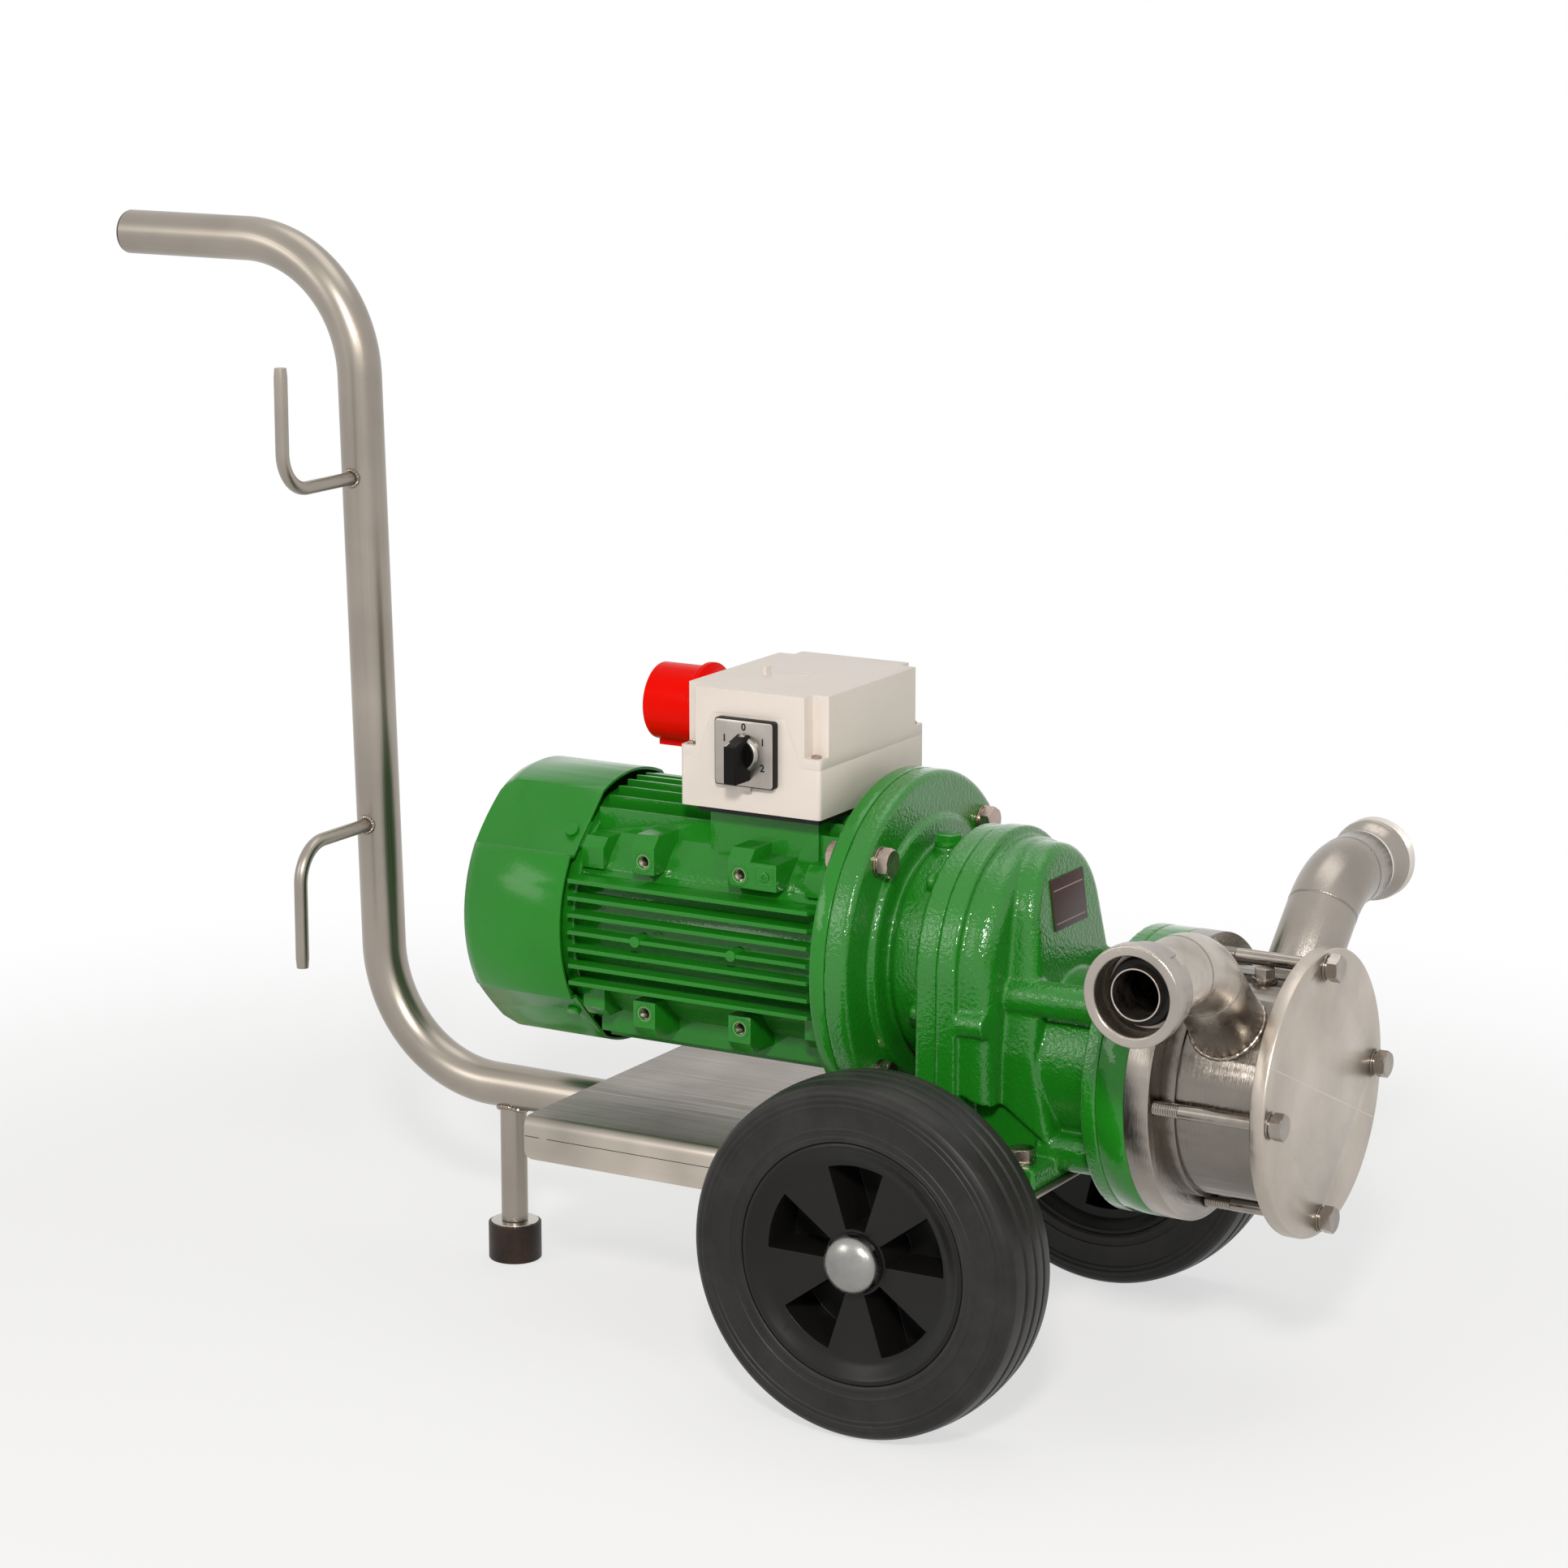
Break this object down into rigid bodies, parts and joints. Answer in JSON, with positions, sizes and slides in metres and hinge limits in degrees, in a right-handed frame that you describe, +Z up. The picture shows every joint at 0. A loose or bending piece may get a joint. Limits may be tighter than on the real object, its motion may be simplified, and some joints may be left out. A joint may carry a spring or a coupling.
{
  "type": "flexible impeller pump on a trolley",
  "caption": "Flexible impeller pump with a green gearmotor, switch box and two slanting ports, on a two-wheel stainless trolley with a bent tube handle.",
  "frame": {"origin": "on the ground, in the middle of the overall length and width", "axes": "+X from the handle's grip to the pump's front cover, along the pump axis; +Z up; +Y towards the far wheel, away from the rotary switch"},
  "size_m": [1.0096, 0.454, 0.777],
  "materials": {
    "stainless_tube": "satin",
    "stainless_pump": "satin",
    "green_enamel": "gloss",
    "zinc_steel": "satin",
    "cap_chrome": "polished",
    "tyre_rubber": "matte",
    "wheel_plastic": "gloss",
    "black_plastic": "matte",
    "foot_rubber": "matte",
    "seal_rubber": "matte",
    "box_plastic": "satin",
    "red_plastic": "gloss",
    "pin_brass": "polished",
    "gear_steel": "satin",
    "core_iron": "matte",
    "plate_metal": "satin"
  },
  "bodies": {
    "trolley": {"handle_tube": "stainless_tube", "handle_end_cap": "black_plastic", "cable_hooks": "stainless_tube", "foot_post": "stainless_tube", "foot_disc": "zinc_steel", "rubber_foot": "foot_rubber", "base_plate": "stainless_tube", "axle_brackets": "stainless_tube", "axle": "stainless_tube", "axle_spacers": "stainless_tube", "axle_caps": "cap_chrome", "fan_cowl": "green_enamel", "cowl_screws": "zinc_steel", "motor_housing": "green_enamel", "rear_end_shield": "green_enamel", "motor_flange": "green_enamel", "stator": "core_iron", "motor_bearings": "gear_steel", "box_gasket": "foot_rubber", "box_base": "box_plastic", "box_lid": "box_plastic", "lid_screws": "zinc_steel", "switch_plate": "black_plastic", "switch_block": "black_plastic", "inlet_plug": "red_plastic", "inlet_pins": "pin_brass", "gearbox_cover": "green_enamel", "gearbox_case": "green_enamel", "flange_bolts": "zinc_steel", "oil_filler_plug": "green_enamel", "nameplate": "plate_metal", "foot_bolts": "zinc_steel", "gearbox_bearings": "gear_steel", "adapter_flange": "green_enamel", "back_flange": "stainless_pump", "pump_body": "stainless_pump", "front_cover": "stainless_pump", "cover_bolts": "zinc_steel", "cam": "gear_steel", "shaft_seal": "seal_rubber", "cover_seal": "seal_rubber", "vent_plug": "stainless_pump", "near_port": "stainless_pump", "liner_seal": "seal_rubber", "far_port": "stainless_pump"},
    "near_wheel": {"near_tyre": "tyre_rubber", "near_wheel_rim": "wheel_plastic", "near_wheel_bush": "wheel_plastic"},
    "far_wheel": {"far_tyre": "tyre_rubber", "far_wheel_rim": "wheel_plastic", "far_wheel_bush": "wheel_plastic"},
    "rotor": {"rotor_core": "core_iron", "motor_shaft": "gear_steel", "cooling_fan": "black_plastic", "drive_pinion": "gear_steel"},
    "pump_rotor": {"output_gear": "gear_steel", "output_shaft": "gear_steel", "impeller": "seal_rubber"},
    "switch_knob": {"switch_knob": "black_plastic"},
    "union_nut": {"union_nut": "stainless_pump"}
  },
  "joints": [
    {"name": "near_wheel_spin", "type": "hinge", "parent": "trolley", "child": "near_wheel", "pos_m": [0.24875, -0.1888, 0.125], "axis": [0, 1, 0], "continuous": true},
    {"name": "far_wheel_spin", "type": "hinge", "parent": "trolley", "child": "far_wheel", "pos_m": [0.24875, 0.1888, 0.125], "axis": [0, 1, 0], "continuous": true},
    {"name": "rotor_spin", "type": "hinge", "parent": "trolley", "child": "rotor", "pos_m": [0.04875, 0, 0.2898], "axis": [1, 0, 0], "continuous": true},
    {"name": "output_spin", "type": "hinge", "parent": "trolley", "child": "pump_rotor", "pos_m": [0.34875, 0, 0.2253], "axis": [1, 0, 0], "continuous": true},
    {"name": "knob_turn", "type": "hinge", "parent": "trolley", "child": "switch_knob", "pos_m": [0.08675, -0.09, 0.432], "axis": [0, 1, 0], "range_deg": [-60, 120]},
    {"name": "nut_turn", "type": "hinge", "parent": "trolley", "child": "union_nut", "pos_m": [0.44675, -0.19, 0.334], "axis": [0, 1, 0], "continuous": true}
  ],
  "couplings": [
    {"joint": "output_spin", "follows": "rotor_spin", "ratio": -0.26471}
  ]
}
